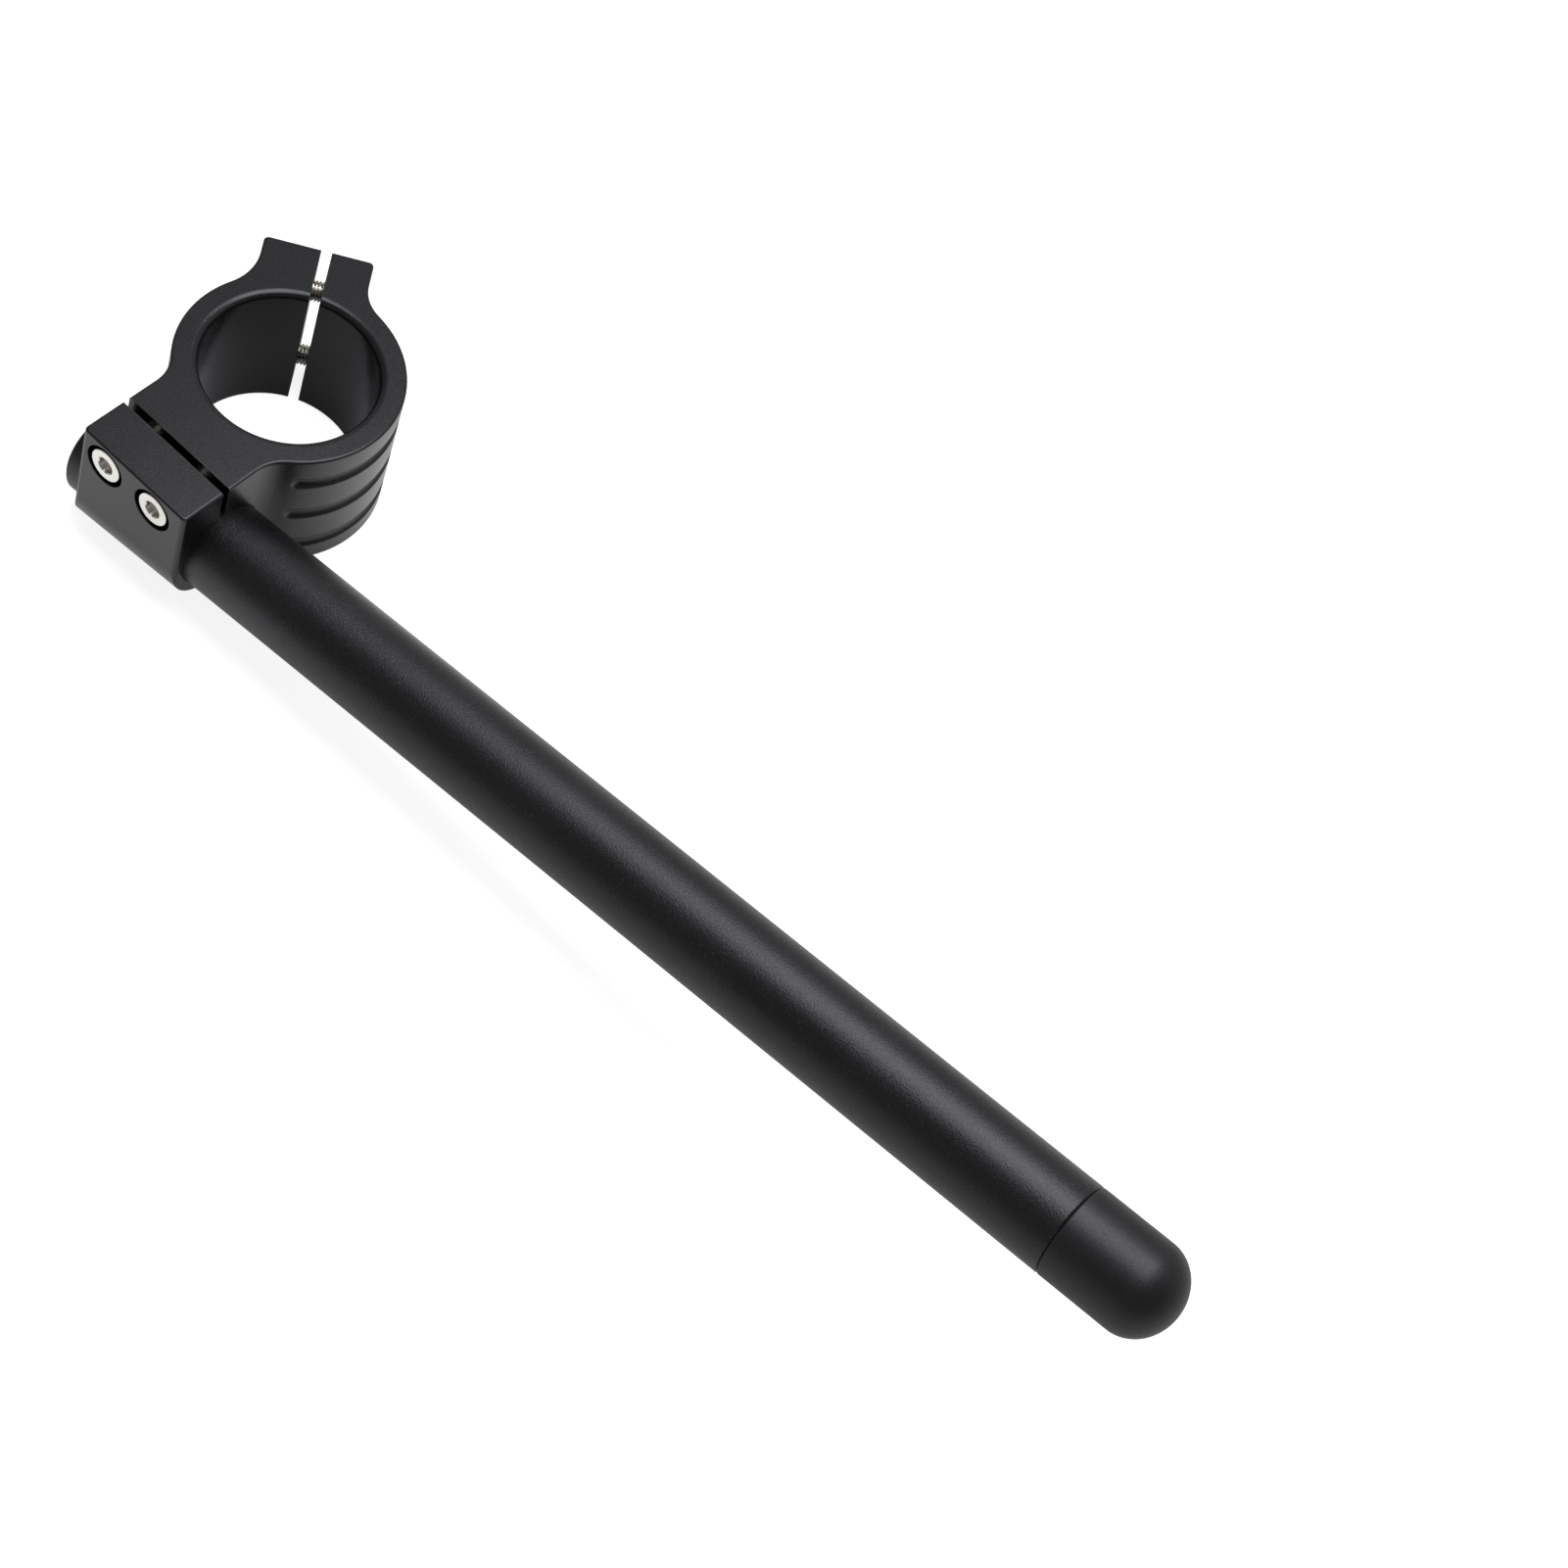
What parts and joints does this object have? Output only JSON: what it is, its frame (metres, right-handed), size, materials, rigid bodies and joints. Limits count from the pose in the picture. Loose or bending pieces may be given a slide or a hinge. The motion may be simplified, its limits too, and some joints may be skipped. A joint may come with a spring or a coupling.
{
  "type": "clip-on handlebar",
  "caption": "Clip-on motorbike handlebar: split ring clamp for a fork tube with pinch screws, and a straight tubular bar with a domed end plug gripped in a block on its side.",
  "frame": {"origin": "on the fork tube's axis, at the middle of the clamp's height", "axes": "+Z along the fork tube, towards the clamp face with the bar's slit; +X along the bar in plan, towards its free end; the bar lies on the -Y side and rises 7.4 degrees towards its free end"},
  "size_m": [0.3175, 0.0837, 0.0621],
  "materials": {
    "clamp_black_anodised": "satin black anodised, machined",
    "bar_black_anodised": "satin black anodised, fine blasted",
    "plug_black_anodised": "satin black anodised, fine blasted",
    "screw_bright_steel": "bright zinc plated"
  },
  "bodies": {
    "root": {"fork_clamp": "clamp_black_anodised", "handlebar_tube": "bar_black_anodised", "bar_end_plug": "plug_black_anodised", "fork_pinch_screw_upper": "screw_bright_steel", "fork_pinch_screw_lower": "screw_bright_steel", "bar_pinch_screw_inboard": "screw_bright_steel", "bar_pinch_screw_outboard": "screw_bright_steel"}
  },
  "joints": []
}
